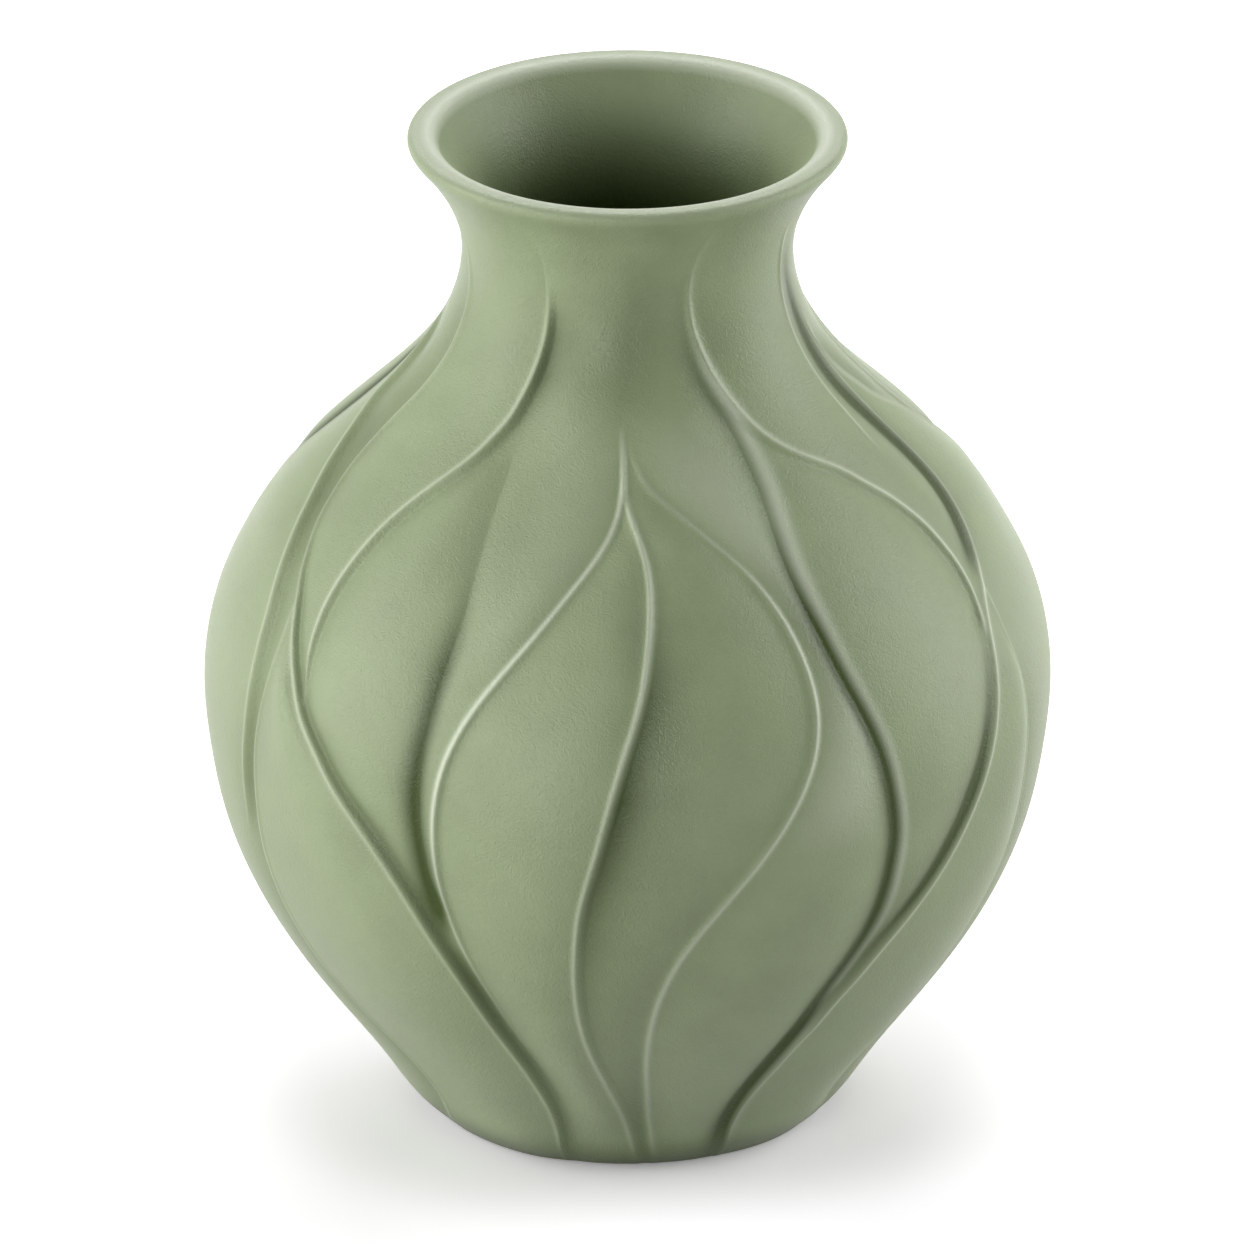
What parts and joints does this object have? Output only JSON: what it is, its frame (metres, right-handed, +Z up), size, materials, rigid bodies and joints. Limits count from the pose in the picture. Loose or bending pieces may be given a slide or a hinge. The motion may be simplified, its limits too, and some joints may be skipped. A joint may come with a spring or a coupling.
{
  "type": "baluster vase",
  "caption": "Round-bellied ceramic vase with a short waisted neck, a wide rolled mouth and overlapping carved leaves, matt sage green glaze.",
  "frame": {"origin": "centre of the foot ring on the surface it stands on", "axes": "+Z up along the vase's axis; -Y towards the side with the centre leaf that the picture shows; +X to its right"},
  "size_m": [0.2428, 0.2448, 0.3],
  "materials": {
    "body_glaze": "satin matt sage green glaze",
    "leaf_glaze": "satin matt sage green glaze, thinner on raised edges",
    "rim_glaze": "satin matt sage green glaze, pale on the lip",
    "bare_clay": "unglazed fired clay"
  },
  "bodies": {
    "root": {"back_centre_leaf_left_half": "leaf_glaze", "back_centre_leaf_right_half": "leaf_glaze", "back_left_leaf": "leaf_glaze", "back_left_strap_leaf": "leaf_glaze", "back_lower_left_leaf": "leaf_glaze", "back_lower_right_leaf": "leaf_glaze", "back_right_leaf": "leaf_glaze", "back_right_strap_leaf": "leaf_glaze", "back_side_leaf": "leaf_glaze", "base_slab": "body_glaze", "foot_ring": "bare_clay", "front_centre_leaf_left_half": "leaf_glaze", "front_centre_leaf_right_half": "leaf_glaze", "front_left_leaf": "leaf_glaze", "front_left_strap_leaf": "leaf_glaze", "front_lower_left_leaf": "leaf_glaze", "front_lower_right_leaf": "leaf_glaze", "front_right_leaf": "leaf_glaze", "front_right_strap_leaf": "leaf_glaze", "front_side_leaf": "leaf_glaze", "lower_wall": "body_glaze", "mouth_rim": "rim_glaze", "neck_collar": "body_glaze", "shoulder_wall": "body_glaze"}
  },
  "joints": []
}
